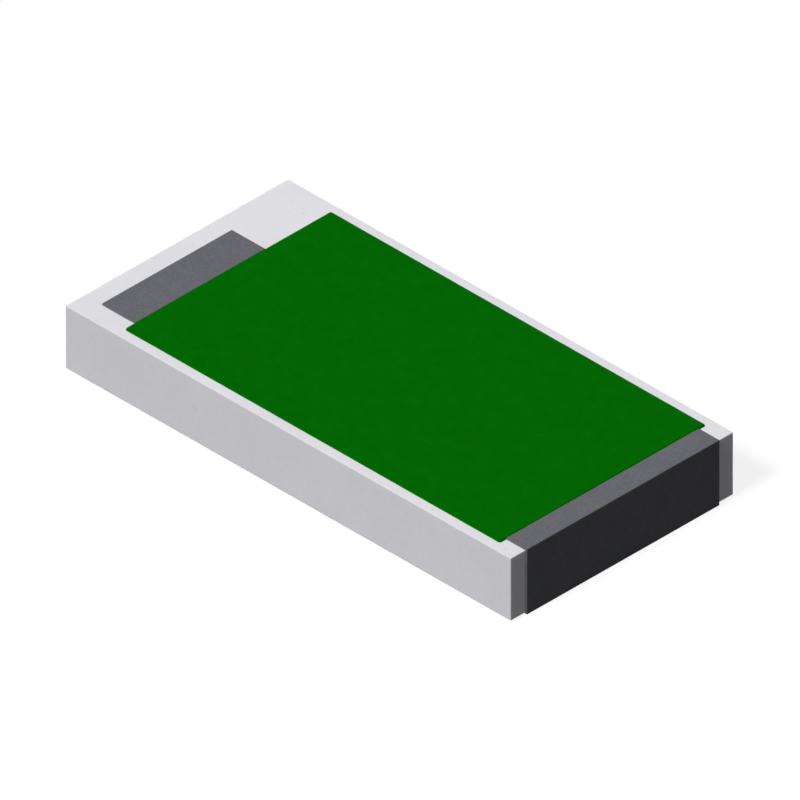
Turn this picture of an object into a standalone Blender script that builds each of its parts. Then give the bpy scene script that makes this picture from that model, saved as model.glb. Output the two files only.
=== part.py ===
"""Thick-film chip resistor with one metallised end.

A white alumina plate carries a stack of screen-printed, fired films. Silver
electrodes are printed on the top face at both ends and over the underside, and
a side electrode joins the right one to the underside round the end face. A
ruthenium-oxide film bridges the two top electrodes, a glass glaze seals it, a
laser cut through both trims it to value, and a green overcoat covers them. All
metal that the overcoat leaves bare is plated with nickel and then with tin.

Metres, +Z up. +X points to the wrapped end, -Y to the front long side. The
origin is on the solder face, under the middle of the plate. Every film is a
solid between two height functions, so each one follows the steps of the films
that it is printed over and seats on them with one small named clearance.
"""

from dataclasses import dataclass
from math import pi

import bmesh
import bpy
from mathutils import Euler, Vector

MM = 0.001

# Alumina plate
PLATE_LENGTH = 5.0 * MM
PLATE_WIDTH = 2.5 * MM
PLATE_HEIGHT = 0.6 * MM
PLATE_EDGE_RADIUS = 0.006 * MM

# Margins that the overcoat leaves on the top face
COAT_LEFT_MARGIN = 0.573 * MM
COAT_RIGHT_MARGIN = 0.214 * MM
COAT_SIDE_MARGIN = 0.093 * MM

# Input electrode at the left end, and how far it reaches under the overcoat
INPUT_END_MARGIN = 0.2 * MM
INPUT_FRONT_MARGIN = 0.216 * MM
INPUT_BACK_MARGIN = 0.833 * MM
INPUT_UNDER_COAT = 0.4 * MM

# Electrodes of the wrapped end, on the top face, the end face and the underside
END_UNDER_COAT = 0.37 * MM
GROUND_END_MARGIN = 0.1 * MM
WRAP_SIDE_MARGIN = 0.172 * MM

# Resistive film, its lap on each electrode, and the glaze that seals it
RESISTOR_LAP = 0.15 * MM
RESISTOR_SIDE_INSET = 0.08 * MM
GLAZE_MARGIN = 0.05 * MM

# Laser trim: a cut in from the front side that turns along the current
TRIM_WIDTH = 0.05 * MM
TRIM_OFFSET = 0.65 * MM
TRIM_PLUNGE = 0.4 * MM
TRIM_LEG = 0.7 * MM
TRIM_RUN_IN = 0.02 * MM

# Heights of the films and of the plating
ELECTRODE_HEIGHT = 0.008 * MM
NICKEL_HEIGHT = 0.0035 * MM
TIN_HEIGHT = 0.004 * MM
RESISTOR_HEIGHT = 0.008 * MM
GLAZE_HEIGHT = 0.006 * MM
COAT_EDGE_HEIGHT = 0.02 * MM
COAT_COVER = 0.004 * MM

# Sloped edge of a film, and how far each plated layer reaches past the one below
FILM_SLOPE = 0.006 * MM
PLATING_SPREAD = 0.003 * MM

# Run over which the overcoat levels out, and the steps that its curve is cut into
COAT_LEVELLING = 0.18 * MM
LEVELLING_STEPS = 4

# Clearance between two films that touch
CONTACT_GAP = 0.0005 * MM

# Points nearer than this are one point
SAME_POINT = 0.00001 * MM

BEVEL_SEGMENTS = 2

PLATE_BOTTOM = ELECTRODE_HEIGHT + NICKEL_HEIGHT + TIN_HEIGHT
PLATE_MIDDLE = PLATE_BOTTOM + PLATE_HEIGHT / 2
PLATE_TOP = PLATE_BOTTOM + PLATE_HEIGHT
PLATE_LEFT = -PLATE_LENGTH / 2
PLATE_RIGHT = PLATE_LENGTH / 2
PLATE_FRONT = -PLATE_WIDTH / 2
PLATE_BACK = PLATE_WIDTH / 2


@dataclass(frozen=True)
class Face:
    """A face of the plate that films are printed on: its origin and how its own up is turned."""

    origin: tuple
    turn: tuple = (0.0, 0.0, 0.0)


@dataclass(frozen=True)
class Film:
    """A printed rectangle whose sides slope, apart from ends that are cut square."""

    left: float
    right: float
    front: float
    back: float
    height: float
    slope: float = FILM_SLOPE
    square_left: bool = False
    square_right: bool = False

    def edge_distance(self, x, y):
        """Distance from a point to the nearest sloped side, below zero outside."""
        sides = [y - self.front, self.back - y]
        if not self.square_left:
            sides.append(x - self.left)
        if not self.square_right:
            sides.append(self.right - x)
        return min(sides)

    def relief(self, x, y):
        """Height of the film at a point: none on its outline, full inside its slope."""
        return self.height * share_of(self.edge_distance(x, y), self.slope)

    def lines_along_x(self):
        """X of the outline and of the top of each slope."""
        return [self.left, self.left + self.slope, self.right - self.slope, self.right]

    def lines_along_y(self):
        """Y of the outline and of the top of each slope."""
        return [self.front, self.front + self.slope, self.back - self.slope, self.back]


@dataclass(frozen=True)
class Skin:
    """A layer round the wrapped end: its reach past the electrodes' outline, its height and slope."""

    spread: float
    height: float
    slope: float

    def relief(self, inset):
        """Height of the layer at a distance inside the electrodes' outline."""
        return self.height * share_of(inset + self.spread, self.slope)

    def insets(self):
        """Distance of the layer's outline and of the top of its slope inside that outline."""
        return [-self.spread, self.slope - self.spread]


def share_of(distance, run):
    """Distance as a share of a run, held between 0 and 1."""
    return min(1.0, max(0.0, distance / run))


TOP_FACE = Face((0.0, 0.0, PLATE_TOP))
UNDERSIDE = Face((0.0, 0.0, PLATE_BOTTOM), (pi, 0.0, 0.0))
END_FACE = Face((PLATE_RIGHT, 0.0, PLATE_MIDDLE), (0.0, pi / 2, 0.0))

COAT = Film(
    PLATE_LEFT + COAT_LEFT_MARGIN,
    PLATE_RIGHT - COAT_RIGHT_MARGIN,
    PLATE_FRONT + COAT_SIDE_MARGIN,
    PLATE_BACK - COAT_SIDE_MARGIN,
    COAT_EDGE_HEIGHT,
)
INPUT = Film(
    PLATE_LEFT + INPUT_END_MARGIN,
    COAT.left + INPUT_UNDER_COAT,
    PLATE_FRONT + INPUT_FRONT_MARGIN,
    PLATE_BACK - INPUT_BACK_MARGIN,
    ELECTRODE_HEIGHT,
)
END = Film(
    COAT.right - END_UNDER_COAT,
    PLATE_RIGHT,
    PLATE_FRONT + WRAP_SIDE_MARGIN,
    PLATE_BACK - WRAP_SIDE_MARGIN,
    ELECTRODE_HEIGHT,
    square_right=True,
)
GROUND = Film(
    PLATE_LEFT + GROUND_END_MARGIN,
    PLATE_RIGHT,
    END.front,
    END.back,
    ELECTRODE_HEIGHT,
    square_right=True,
)
SIDE = Film(
    -PLATE_HEIGHT / 2 - ELECTRODE_HEIGHT,
    PLATE_HEIGHT / 2 + ELECTRODE_HEIGHT,
    END.front,
    END.back,
    ELECTRODE_HEIGHT,
    square_left=True,
    square_right=True,
)
RESISTOR = Film(
    INPUT.right - RESISTOR_LAP,
    END.left + RESISTOR_LAP,
    INPUT.front + RESISTOR_SIDE_INSET,
    INPUT.back - RESISTOR_SIDE_INSET,
    RESISTOR_HEIGHT,
)
GLAZE = Film(
    RESISTOR.left - GLAZE_MARGIN,
    RESISTOR.right + GLAZE_MARGIN,
    RESISTOR.front - GLAZE_MARGIN,
    RESISTOR.back + GLAZE_MARGIN,
    GLAZE_HEIGHT,
)

# The wrapped end's path on bare alumina: along the top from the overcoat, down, and back underneath
TOP_RUN = PLATE_RIGHT - COAT.right
END_RUN = PLATE_HEIGHT
UNDER_RUN = PLATE_RIGHT - GROUND.left
LOWER_FOLD = TOP_RUN + END_RUN
PATH_LENGTH = LOWER_FOLD + UNDER_RUN

ELECTRODES = Skin(0.0, ELECTRODE_HEIGHT, FILM_SLOPE)
NICKEL = Skin(PLATING_SPREAD, NICKEL_HEIGHT, PLATING_SPREAD)
TIN = Skin(2 * PLATING_SPREAD, TIN_HEIGHT, PLATING_SPREAD)


def clear_scene():
    """Removes every object that the scene starts with."""
    for old in list(bpy.data.objects):
        bpy.data.objects.remove(old, do_unlink=True)


def new_collection(name):
    """A collection linked to the scene."""
    collection = bpy.data.collections.new(name)
    bpy.context.scene.collection.children.link(collection)
    return collection


def new_material(name, colour, roughness, metallic=0.0):
    """A plain Principled material in linear colour."""
    material = bpy.data.materials.new(name)
    material.use_nodes = True
    shader = material.node_tree.nodes["Principled BSDF"]
    shader.inputs["Base Color"].default_value = (*colour, 1.0)
    shader.inputs["Roughness"].default_value = roughness
    shader.inputs["Metallic"].default_value = metallic
    return material


def new_object(name, bm, collection, place, turn=(0.0, 0.0, 0.0), material=None):
    """An object with the mesh that bm holds, at its place."""
    bmesh.ops.recalc_face_normals(bm, faces=bm.faces)
    mesh = bpy.data.meshes.new(name)
    bm.to_mesh(mesh)
    bm.free()
    item = bpy.data.objects.new(name, mesh)
    item.location = place
    item.rotation_euler = turn
    if material:
        mesh.materials.append(material)
    collection.objects.link(item)
    return item


def box_mesh(size, middle=(0.0, 0.0, 0.0)):
    """A box of this size round its middle."""
    bm = bmesh.new()
    bmesh.ops.create_cube(bm, size=1.0)
    bmesh.ops.scale(bm, vec=size, verts=bm.verts)
    bmesh.ops.translate(bm, vec=middle, verts=bm.verts)
    return bm


def slice_mesh(bm, axis, lines, low, high):
    """Cuts a mesh across the axis at each line that lies inside a span."""
    normal = Vector((0.0, 0.0, 0.0))
    normal[axis] = 1.0
    for line in sorted(set(lines)):
        if low + SAME_POINT < line < high - SAME_POINT:
            bmesh.ops.bisect_plane(
                bm,
                geom=bm.verts[:] + bm.edges[:] + bm.faces[:],
                dist=SAME_POINT,
                plane_co=normal * line,
                plane_no=normal,
            )


def draw_out(bm, faces, step):
    """Draws part of a solid's surface out by a step."""
    drawn = bmesh.ops.extrude_face_region(bm, geom=faces)
    bmesh.ops.delete(bm, geom=faces, context="FACES")
    moved = [item for item in drawn["geom"] if isinstance(item, bmesh.types.BMVert)]
    bmesh.ops.translate(bm, vec=step, verts=moved)


def close_feather_edges(bm):
    """Joins the points where a film runs out to nothing, with each corner's crease out to its tip."""
    bmesh.ops.remove_doubles(bm, verts=bm.verts, dist=SAME_POINT)
    bmesh.ops.triangulate(bm, faces=bm.faces, quad_method="LONG_EDGE")


def stack_height(films, x, y):
    """Height that a stack of films reaches over its face at a point."""
    return sum(film.relief(x, y) for film in films)


def film_between(name, outline, lines_x, lines_y, underside, top, face, collection, material):
    """A film between two height functions: a slab sliced along the lines, then set to both heights."""
    middle = Vector(((outline.left + outline.right) / 2, (outline.front + outline.back) / 2, 0.0))
    size = (outline.right - outline.left, outline.back - outline.front, outline.height)
    bm = box_mesh(size, middle)
    slice_mesh(bm, 0, lines_x, outline.left, outline.right)
    slice_mesh(bm, 1, lines_y, outline.front, outline.back)
    for vert in bm.verts:
        height = top if vert.co.z > 0.0 else underside
        vert.co.z = height(vert.co.x, vert.co.y)
    close_feather_edges(bm)
    bmesh.ops.translate(bm, vec=-middle, verts=bm.verts)
    place = Vector(face.origin) + Euler(face.turn).to_matrix() @ middle
    return new_object(name, bm, collection, place, face.turn, material)


def fired_film(name, outline, below, face, collection, material):
    """A film of even height that follows its face and the films below it."""
    films = [*below, outline]

    def underside(x, y):
        return stack_height(below, x, y) + CONTACT_GAP

    def top(x, y):
        return max(stack_height(films, x, y), underside(x, y))

    lines_x = [line for film in films for line in film.lines_along_x()]
    lines_y = [line for film in films for line in film.lines_along_y()]
    return film_between(name, outline, lines_x, lines_y, underside, top, face, collection, material)


def alumina_plate(collection, material):
    """The alumina plate, its edges just broken."""
    size = (PLATE_LENGTH, PLATE_WIDTH, PLATE_HEIGHT)
    place = (0.0, 0.0, PLATE_MIDDLE)
    item = new_object("alumina_plate", box_mesh(size), collection, place, material=material)
    bevel = item.modifiers.new("broken_edges", "BEVEL")
    bevel.width = PLATE_EDGE_RADIUS
    bevel.segments = BEVEL_SEGMENTS
    return item


def electrodes(collection, material):
    """The four silver films: input and end on top, ground underneath, side down the right end."""
    fired_film("input_electrode", INPUT, [], TOP_FACE, collection, material)
    fired_film("end_electrode", END, [], TOP_FACE, collection, material)
    fired_film("ground_electrode", GROUND, [], UNDERSIDE, collection, material)
    fired_film("side_electrode", SIDE, [], END_FACE, collection, material)


def trim_bar(name, inset, low, high, collection):
    """An L-shaped bar along the laser's path, its sides this far inside the cut."""
    left = INPUT.right + TRIM_OFFSET + inset
    right = INPUT.right + TRIM_OFFSET + TRIM_WIDTH - inset
    start = GLAZE.front - TRIM_RUN_IN
    end = RESISTOR.front + TRIM_PLUNGE - inset
    turn = end + 2 * inset - TRIM_WIDTH
    middle = Vector(((left + right) / 2, (start + end) / 2, PLATE_TOP + (low + high) / 2))
    bm = box_mesh((right - left, end - start, high - low), middle)
    slice_mesh(bm, 1, [turn], start, end)
    side = max(bm.faces, key=lambda face: (face.calc_center_median().x, face.calc_center_median().y))
    draw_out(bm, [side], (TRIM_LEG, 0.0, 0.0))
    bmesh.ops.translate(bm, vec=-middle, verts=bm.verts)
    item = new_object(name, bm, collection, middle)
    item.hide_render = True
    item.display_type = "WIRE"
    return item


def combine(item, other, operation):
    """Cuts a piece with another, or joins the other to it."""
    modifier = item.modifiers.new(other.name, "BOOLEAN")
    modifier.operation = operation
    modifier.solver = "EXACT"
    modifier.object = other


def resistive_element(collection, cutters, ruthenium, glass):
    """The resistive film from electrode to electrode and its glaze, both cut by the trimming laser."""
    film = fired_film("resistive_film", RESISTOR, [INPUT, END], TOP_FACE, collection, ruthenium)
    glaze = fired_film("glass_glaze", GLAZE, [INPUT, END, RESISTOR], TOP_FACE, collection, glass)
    cut = trim_bar("laser_cut", 0.0, -COAT_COVER, RESISTOR_HEIGHT + GLAZE_HEIGHT + COAT_COVER, cutters)
    combine(film, cut, "DIFFERENCE")
    combine(glaze, cut, "DIFFERENCE")


def levelled(distance):
    """Share of its full rise that the overcoat has reached at a distance from its side."""
    share = share_of(distance, COAT_LEVELLING)
    return share * share * (3.0 - 2.0 * share)


def levelling_lines(low, high):
    """Lines across one direction where the overcoat's curve changes slope."""
    steps = [COAT_LEVELLING * step / LEVELLING_STEPS for step in range(1, LEVELLING_STEPS + 1)]
    return [low + step for step in steps] + [high - step for step in steps]


def green_overcoat(collection, cutters, material):
    """The overcoat: it covers all that it lies on, levels out to a flat top and fills the laser cut."""
    below = [INPUT, END, RESISTOR, GLAZE]
    edge_rise = ELECTRODE_HEIGHT + RESISTOR_HEIGHT + GLAZE_HEIGHT + COAT_COVER - COAT_EDGE_HEIGHT

    def underside(x, y):
        return stack_height(below, x, y) + CONTACT_GAP

    def top(x, y):
        across = levelled(min(x - COAT.left, COAT.right - x))
        along = levelled(min(y - COAT.front, COAT.back - y))
        level = COAT_EDGE_HEIGHT + edge_rise * across * along
        cover = max(level - stack_height(below, x, y), COAT_COVER) - CONTACT_GAP
        return underside(x, y) + cover * share_of(COAT.edge_distance(x, y), FILM_SLOPE)

    films = [*below, COAT]
    lines_x = [line for film in films for line in film.lines_along_x()]
    lines_y = [line for film in films for line in film.lines_along_y()]
    lines_x += levelling_lines(COAT.left, COAT.right)
    lines_y += levelling_lines(COAT.front, COAT.back)
    coat = film_between(
        "green_overcoat", COAT, lines_x, lines_y, underside, top, TOP_FACE, collection, material
    )
    into_the_coat = RESISTOR_HEIGHT + GLAZE_HEIGHT + COAT_COVER / 2
    filling = trim_bar("coat_in_laser_cut", CONTACT_GAP, 2 * CONTACT_GAP, into_the_coat, cutters)
    combine(coat, filling, "UNION")


def plated(outline, skin):
    """Outline of a plated layer over the bare part of the input electrode."""
    return Film(
        outline.left - skin.spread,
        COAT.left,
        outline.front - skin.spread,
        outline.back + skin.spread,
        skin.height,
        skin.slope,
        square_right=True,
    )


def input_plating(collection, nickel, tin):
    """Nickel and tin on the input electrode, up to the overcoat."""
    nickel_outline = plated(INPUT, NICKEL)
    tin_outline = plated(INPUT, TIN)
    fired_film("input_nickel", nickel_outline, [INPUT], TOP_FACE, collection, nickel)
    fired_film("input_tin", tin_outline, [INPUT, nickel_outline], TOP_FACE, collection, tin)


def skin_height(layers, inset, on_top):
    """Height of the last layer's outer or inner surface at a distance inside the electrodes' outline."""
    depths = [layer.relief(inset) for layer in layers]
    low = sum(depths[:-1]) + CONTACT_GAP
    return max(sum(depths), low) if on_top else low


def folded(along, height, height_below):
    """X and Z at a distance along the wrapped end's path and at a height over each of its faces."""
    x = COAT.right + min(along, TOP_RUN) - max(0.0, along - LOWER_FOLD)
    z = PLATE_TOP - min(max(0.0, along - TOP_RUN), END_RUN)
    if TOP_RUN - SAME_POINT < along < LOWER_FOLD + SAME_POINT:
        x += height
    if along < TOP_RUN + SAME_POINT:
        z += height
    if along > LOWER_FOLD - SAME_POINT:
        z -= height_below
    return x, z


def wrap_slab(skin, insets):
    """The layer laid out flat, from the overcoat to its end underneath, and sliced at both folds."""
    half_width = END.back + skin.spread
    length = PATH_LENGTH + skin.spread
    bm = box_mesh((length, 2 * half_width, skin.height), (length / 2, 0.0, 0.0))
    ends = [PATH_LENGTH - inset for inset in insets]
    slice_mesh(bm, 0, [TOP_RUN, LOWER_FOLD, *ends], 0.0, length)
    edges = [END.back - inset for inset in insets]
    slice_mesh(bm, 1, edges + [-edge for edge in edges], -half_width, half_width)
    return bm


def wrapped_skin(name, skin, below, collection, material):
    """A plated layer in one piece: along the top from the overcoat, down the end and underneath."""
    layers = [*below, skin]
    bm = wrap_slab(skin, [inset for layer in layers for inset in layer.insets()])
    for vert in bm.verts:
        along, across, up = vert.co
        inset = END.back - abs(across)
        inset_below = min(inset, PATH_LENGTH - along)
        height = skin_height(layers, inset, up > 0.0)
        height_below = skin_height(layers, inset_below, up > 0.0)
        x, z = folded(along, height, height_below)
        vert.co = (x, across, z)
    close_feather_edges(bm)
    place = Vector((PLATE_RIGHT, 0.0, PLATE_MIDDLE))
    bmesh.ops.translate(bm, vec=-place, verts=bm.verts)
    return new_object(name, bm, collection, place, material=material)


def end_plating(collection, nickel, tin):
    """Nickel and tin on the three electrodes of the wrapped end."""
    wrapped_skin("end_nickel", NICKEL, [ELECTRODES], collection, nickel)
    wrapped_skin("end_tin", TIN, [ELECTRODES, NICKEL], collection, tin)


def build():
    """Builds the chip from the plate outwards."""
    clear_scene()
    chip = new_collection("chip_resistor")
    cutters = new_collection("cutters")

    alumina = new_material("alumina", (0.78, 0.77, 0.8), 0.55)
    silver = new_material("fired_silver", (0.55, 0.54, 0.52), 0.5, 0.8)
    ruthenium = new_material("ruthenium_oxide", (0.02, 0.02, 0.022), 0.45)
    glass = new_material("glass_glaze", (0.32, 0.4, 0.34), 0.15)
    green = new_material("green_overcoat", (0.002, 0.13, 0.002), 0.45)
    nickel = new_material("nickel", (0.3, 0.28, 0.24), 0.4, 0.9)
    tin = new_material("matte_tin", (0.15, 0.15, 0.17), 0.5, 0.6)

    alumina_plate(chip, alumina)
    electrodes(chip, silver)
    resistive_element(chip, cutters, ruthenium, glass)
    green_overcoat(chip, cutters, green)
    input_plating(chip, nickel, tin)
    end_plating(chip, nickel, tin)


build()
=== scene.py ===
"""Finishes and lights a thick-film chip resistor with one wrapped end.

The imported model's nodes give the outlines and heights. The pieces that show are worked out again
as fine surfaces: the alumina plate, the green overcoat and the tin on both ends. The films and the
plating below them keep their solids and get a finish. Metres, +Z up, +X towards the wrapped end.
"""

import logging
import math
from collections.abc import Iterable
from dataclasses import dataclass, field, replace
from enum import Enum

import bmesh
import bpy
import numpy as np
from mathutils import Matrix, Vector


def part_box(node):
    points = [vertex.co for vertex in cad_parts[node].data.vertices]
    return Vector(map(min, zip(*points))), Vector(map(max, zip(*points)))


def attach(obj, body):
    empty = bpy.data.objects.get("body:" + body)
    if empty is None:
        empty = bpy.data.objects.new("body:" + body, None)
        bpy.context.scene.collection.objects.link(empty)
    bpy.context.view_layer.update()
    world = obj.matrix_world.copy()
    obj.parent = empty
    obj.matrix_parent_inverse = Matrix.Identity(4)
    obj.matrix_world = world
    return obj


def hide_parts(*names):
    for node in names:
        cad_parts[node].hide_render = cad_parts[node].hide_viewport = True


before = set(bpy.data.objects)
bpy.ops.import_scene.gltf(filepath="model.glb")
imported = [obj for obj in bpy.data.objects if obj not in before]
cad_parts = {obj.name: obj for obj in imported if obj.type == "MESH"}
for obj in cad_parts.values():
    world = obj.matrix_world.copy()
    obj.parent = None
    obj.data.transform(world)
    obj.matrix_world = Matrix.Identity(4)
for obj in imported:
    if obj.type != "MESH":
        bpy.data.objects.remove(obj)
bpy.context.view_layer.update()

Colour = tuple[float, float, float]
Span = tuple[float, float]
Grid = np.ndarray

LOG = logging.getLogger("chip_resistor")
MM = 1e-3
MICRON = 1e-6
BODY = "root"

# Grid lines and points closer than these are one
LINE_STEP = 0.1 * MICRON
SAME_POINT = 0.02 * MICRON

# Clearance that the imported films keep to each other, and the slope of a fired film's edge
CONTACT_GAP = 0.5 * MICRON
FILM_SLOPE = 6 * MICRON

# Plating: reach of each layer past the one below, and the thickness of the nickel
PLATING_SPREAD = 3 * MICRON
NICKEL_THICKNESS = 3.5 * MICRON

# Values that soft noise mostly keeps to, the number of waves in a ripple and of lines at a rim,
# and the angle from which an edge is shaded sharp
NOISE_SPAN = (0.3, 0.7)
RIPPLE_WAVES = 18
RIM_LINES = 9
SHARP_ANGLE = math.radians(50.0)

# Sockets of a Mix node that mixes colours
MIX_FACTOR = 0
MIX_FIRST = 6
MIX_SECOND = 7
MIX_RESULT = 2


class Slot(Enum):
    """Material slot names for the plate, the overcoat and the tin."""

    ALUMINA = "alumina"
    OVERCOAT = "green_overcoat"
    TIN = "matte_tin"


@dataclass(frozen=True)
class Wire:
    """A shader value that takes part in Python expressions."""

    recipe: "Recipe"
    socket: bpy.types.NodeSocket

    def maths(self, operation: str, *values: "Wire | float") -> "Wire":
        """The result of a Math node with this operation on these values."""
        return self.recipe.node("ShaderNodeMath", {"operation": operation}, dict(enumerate(values)))

    def __add__(self, other: "Wire | float") -> "Wire":
        """This value plus another."""
        return self.maths("ADD", self, other)

    def __radd__(self, other: float) -> "Wire":
        """A number plus this value."""
        return self.maths("ADD", other, self)

    def __sub__(self, other: "Wire | float") -> "Wire":
        """This value less another."""
        return self.maths("SUBTRACT", self, other)

    def __rsub__(self, other: float) -> "Wire":
        """A number less this value."""
        return self.maths("SUBTRACT", other, self)

    def __mul__(self, other: "Wire | float") -> "Wire":
        """This value times another."""
        return self.maths("MULTIPLY", self, other)

    def __rmul__(self, other: float) -> "Wire":
        """A number times this value."""
        return self.maths("MULTIPLY", other, self)

    def wave(self) -> "Wire":
        """The sine of this value."""
        return self.maths("SINE", self)

    def largest(self, other: "Wire | float") -> "Wire":
        """The larger of this value and another."""
        return self.maths("MAXIMUM", self, other)

    def ramp(self, span: Span, result: Span = (0.0, 1.0)) -> "Wire":
        """Maps this value smoothly from one span to another and holds it at both ends.

        Args:
            span: the values that give the result's ends.
            result: what those values give.

        Returns:
            The mapped value.
        """
        settings = {"interpolation_type": "SMOOTHSTEP", "clamp": True}
        ends = {"From Min": span[0], "From Max": span[1], "To Min": result[0], "To Max": result[1]}
        return self.recipe.node("ShaderNodeMapRange", settings, {"Value": self, **ends})


class Recipe:
    """A node tree that is filled from Python expressions."""

    def __init__(self, tree: bpy.types.NodeTree) -> None:
        """Takes the node tree of a material or of the world, and empties it."""
        self.tree = tree
        tree.nodes.clear()

    def put(self, kind: str, settings: dict | None = None, inputs: dict | None = None) -> bpy.types.Node:
        """Puts one node into the tree, with its settings made first and its sockets filled after.

        Args:
            kind: the node's type.
            settings: values of the node itself.
            inputs: numbers, colours or wires by socket name or number.

        Returns:
            The node.
        """
        made = self.tree.nodes.new(kind)
        for name, value in (settings or {}).items():
            setattr(made, name, value)
        for name, value in (inputs or {}).items():
            if isinstance(value, Wire):
                self.tree.links.new(value.socket, made.inputs[name])
            else:
                made.inputs[name].default_value = value
        return made

    def node(self, kind: str, settings: dict | None = None, inputs: dict | None = None,
             output: int | str = 0) -> Wire:
        """Puts one node into the tree and hands on its output of this name or number."""
        return Wire(self, self.put(kind, settings, inputs).outputs[output])

    def millimetres(self) -> Wire:
        """Object coordinates in millimetres."""
        place = self.node("ShaderNodeTexCoord", output="Object")
        return self.node("ShaderNodeVectorMath", {"operation": "SCALE"}, {0: place, "Scale": 1.0 / MM})

    def apart(self, vector: Wire) -> tuple[Wire, Wire, Wire]:
        """The X, Y and Z of a vector."""
        split = self.put("ShaderNodeSeparateXYZ", None, {0: vector})
        return tuple(Wire(self, socket) for socket in split.outputs)

    def noise(self, place: Wire, per_mm: float, octaves: float = 2.0) -> Wire:
        """Soft noise, a value round one half."""
        inputs = {"Vector": place, "Scale": per_mm, "Detail": octaves}
        return self.node("ShaderNodeTexNoise", None, inputs)

    def crystals(self, place: Wire, per_mm: float) -> Wire:
        """Packed cells, as grains in metal or ceramic: the distance from each cell's middle."""
        inputs = {"Vector": place, "Scale": per_mm}
        return self.node("ShaderNodeTexVoronoi", {"feature": "F1"}, inputs, "Distance")

    def blend(self, factor: Wire | float, first: "Wire | Colour", second: "Wire | Colour") -> Wire:
        """Mixes two colours.

        Args:
            factor: share of the second colour.
            first: colour at 0.
            second: colour at 1.

        Returns:
            The mixed colour.
        """
        ends = [value if isinstance(value, Wire) else (*value, 1.0) for value in (first, second)]
        inputs = {MIX_FACTOR: factor, MIX_FIRST: ends[0], MIX_SECOND: ends[1]}
        return self.node("ShaderNodeMix", {"data_type": "RGBA"}, inputs, MIX_RESULT)

    def relief(self, height: Wire, depth: float) -> Wire:
        """A normal that follows a height, where a height of 1 is the depth in metres."""
        return self.node("ShaderNodeBump", None, {"Height": height, "Distance": depth})

    def show(self, kind: str, shader: Wire) -> None:
        """Ends the tree in an output node of this type that shows the shader."""
        self.put(kind, None, {"Surface": shader})

    def surface(self, **sockets: "Wire | float | tuple") -> None:
        """Ends the material in a Principled shader. An underscore stands for a socket name's space."""
        named = {name.replace("_", " "): value for name, value in sockets.items()}
        self.show("ShaderNodeOutputMaterial", self.node("ShaderNodeBsdfPrincipled", None, named))


def new_recipe(name: str) -> tuple[bpy.types.Material, Recipe]:
    """Starts a material.

    Args:
        name: the material's name.

    Returns:
        The material and the recipe that fills it.
    """
    material = bpy.data.materials.new(name)
    material.use_nodes = True
    return material, Recipe(material.node_tree)


@dataclass(frozen=True)
class FiredAlumina:
    """Kiln-white alumina: matte, faintly clouded, with fine grains and a few open pores."""

    white: Colour = (0.775, 0.768, 0.806)
    shade: Colour = (0.735, 0.728, 0.772)
    pore: Colour = (0.68, 0.67, 0.70)
    clouds_per_mm: float = 1.6
    grains_per_mm: float = 42.0
    pores_per_mm: float = 17.0
    grain_tone: float = 0.45
    grain_relief: float = 0.6
    tone_span: Span = (0.36, 0.64)
    pore_span: Span = (0.7, 0.78)
    pore_strength: float = 0.6
    roughness: Span = (0.5, 0.66)
    specular: float = 0.3
    depth: float = 0.5 * MICRON

    def material(self) -> bpy.types.Material:
        """Writes the finish: clouds and grains share the tone and the relief, and pores go in.

        Returns:
            The material.
        """
        material, recipe = new_recipe("fired_alumina")
        place = recipe.millimetres()
        clouds = recipe.noise(place, self.clouds_per_mm, octaves=4.0)
        grains = recipe.noise(place, self.grains_per_mm, octaves=3.0)
        pores = recipe.noise(place, self.pores_per_mm, octaves=1.0).ramp(self.pore_span)
        tone = clouds * (1.0 - self.grain_tone) + grains * self.grain_tone
        height = grains * self.grain_relief + clouds * (1.0 - self.grain_relief) - pores
        colour = recipe.blend(tone.ramp(self.tone_span), self.shade, self.white)
        recipe.surface(
            Base_Color=recipe.blend(pores * self.pore_strength, colour, self.pore),
            Roughness=grains.ramp(NOISE_SPAN, self.roughness),
            Specular_IOR_Level=self.specular,
            Normal=recipe.relief(height, self.depth),
        )
        return material


@dataclass(frozen=True)
class PrintedOvercoat:
    """Green overcoat: even pigment, the faint weave of the printing screen and a soft orange peel."""

    green: Colour = (0.0008, 0.137, 0.0008)
    deep: Colour = (0.0006, 0.122, 0.0006)
    peel_per_mm: float = 9.0
    fleck_per_mm: float = 38.0
    threads_per_mm: float = 11.0
    fleck_tone: float = 0.5
    peel_relief: float = 0.7
    fleck_relief: float = 0.2
    weave_relief: float = 0.05
    tone_span: Span = (0.34, 0.66)
    roughness: Span = (0.42, 0.56)
    depth: float = 0.5 * MICRON
    ior: float = 1.04

    def material(self) -> bpy.types.Material:
        """Writes the finish. The weave is one sine wave times another, both at 45 degrees.

        Returns:
            The material.
        """
        material, recipe = new_recipe("green_print")
        place = recipe.millimetres()
        across, along, _ = recipe.apart(place)
        turn = 2.0 * math.pi * self.threads_per_mm / math.sqrt(2.0)
        weave = ((across + along) * turn).wave() * ((across - along) * turn).wave()
        peel = recipe.noise(place, self.peel_per_mm)
        fleck = recipe.noise(place, self.fleck_per_mm)
        tone = peel * (1.0 - self.fleck_tone) + fleck * self.fleck_tone
        height = peel * self.peel_relief + fleck * self.fleck_relief + weave * self.weave_relief
        recipe.surface(
            Base_Color=recipe.blend(tone.ramp(self.tone_span), self.deep, self.green),
            Roughness=fleck.ramp(NOISE_SPAN, self.roughness),
            IOR=self.ior,
            Normal=recipe.relief(height, self.depth),
        )
        return material


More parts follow.
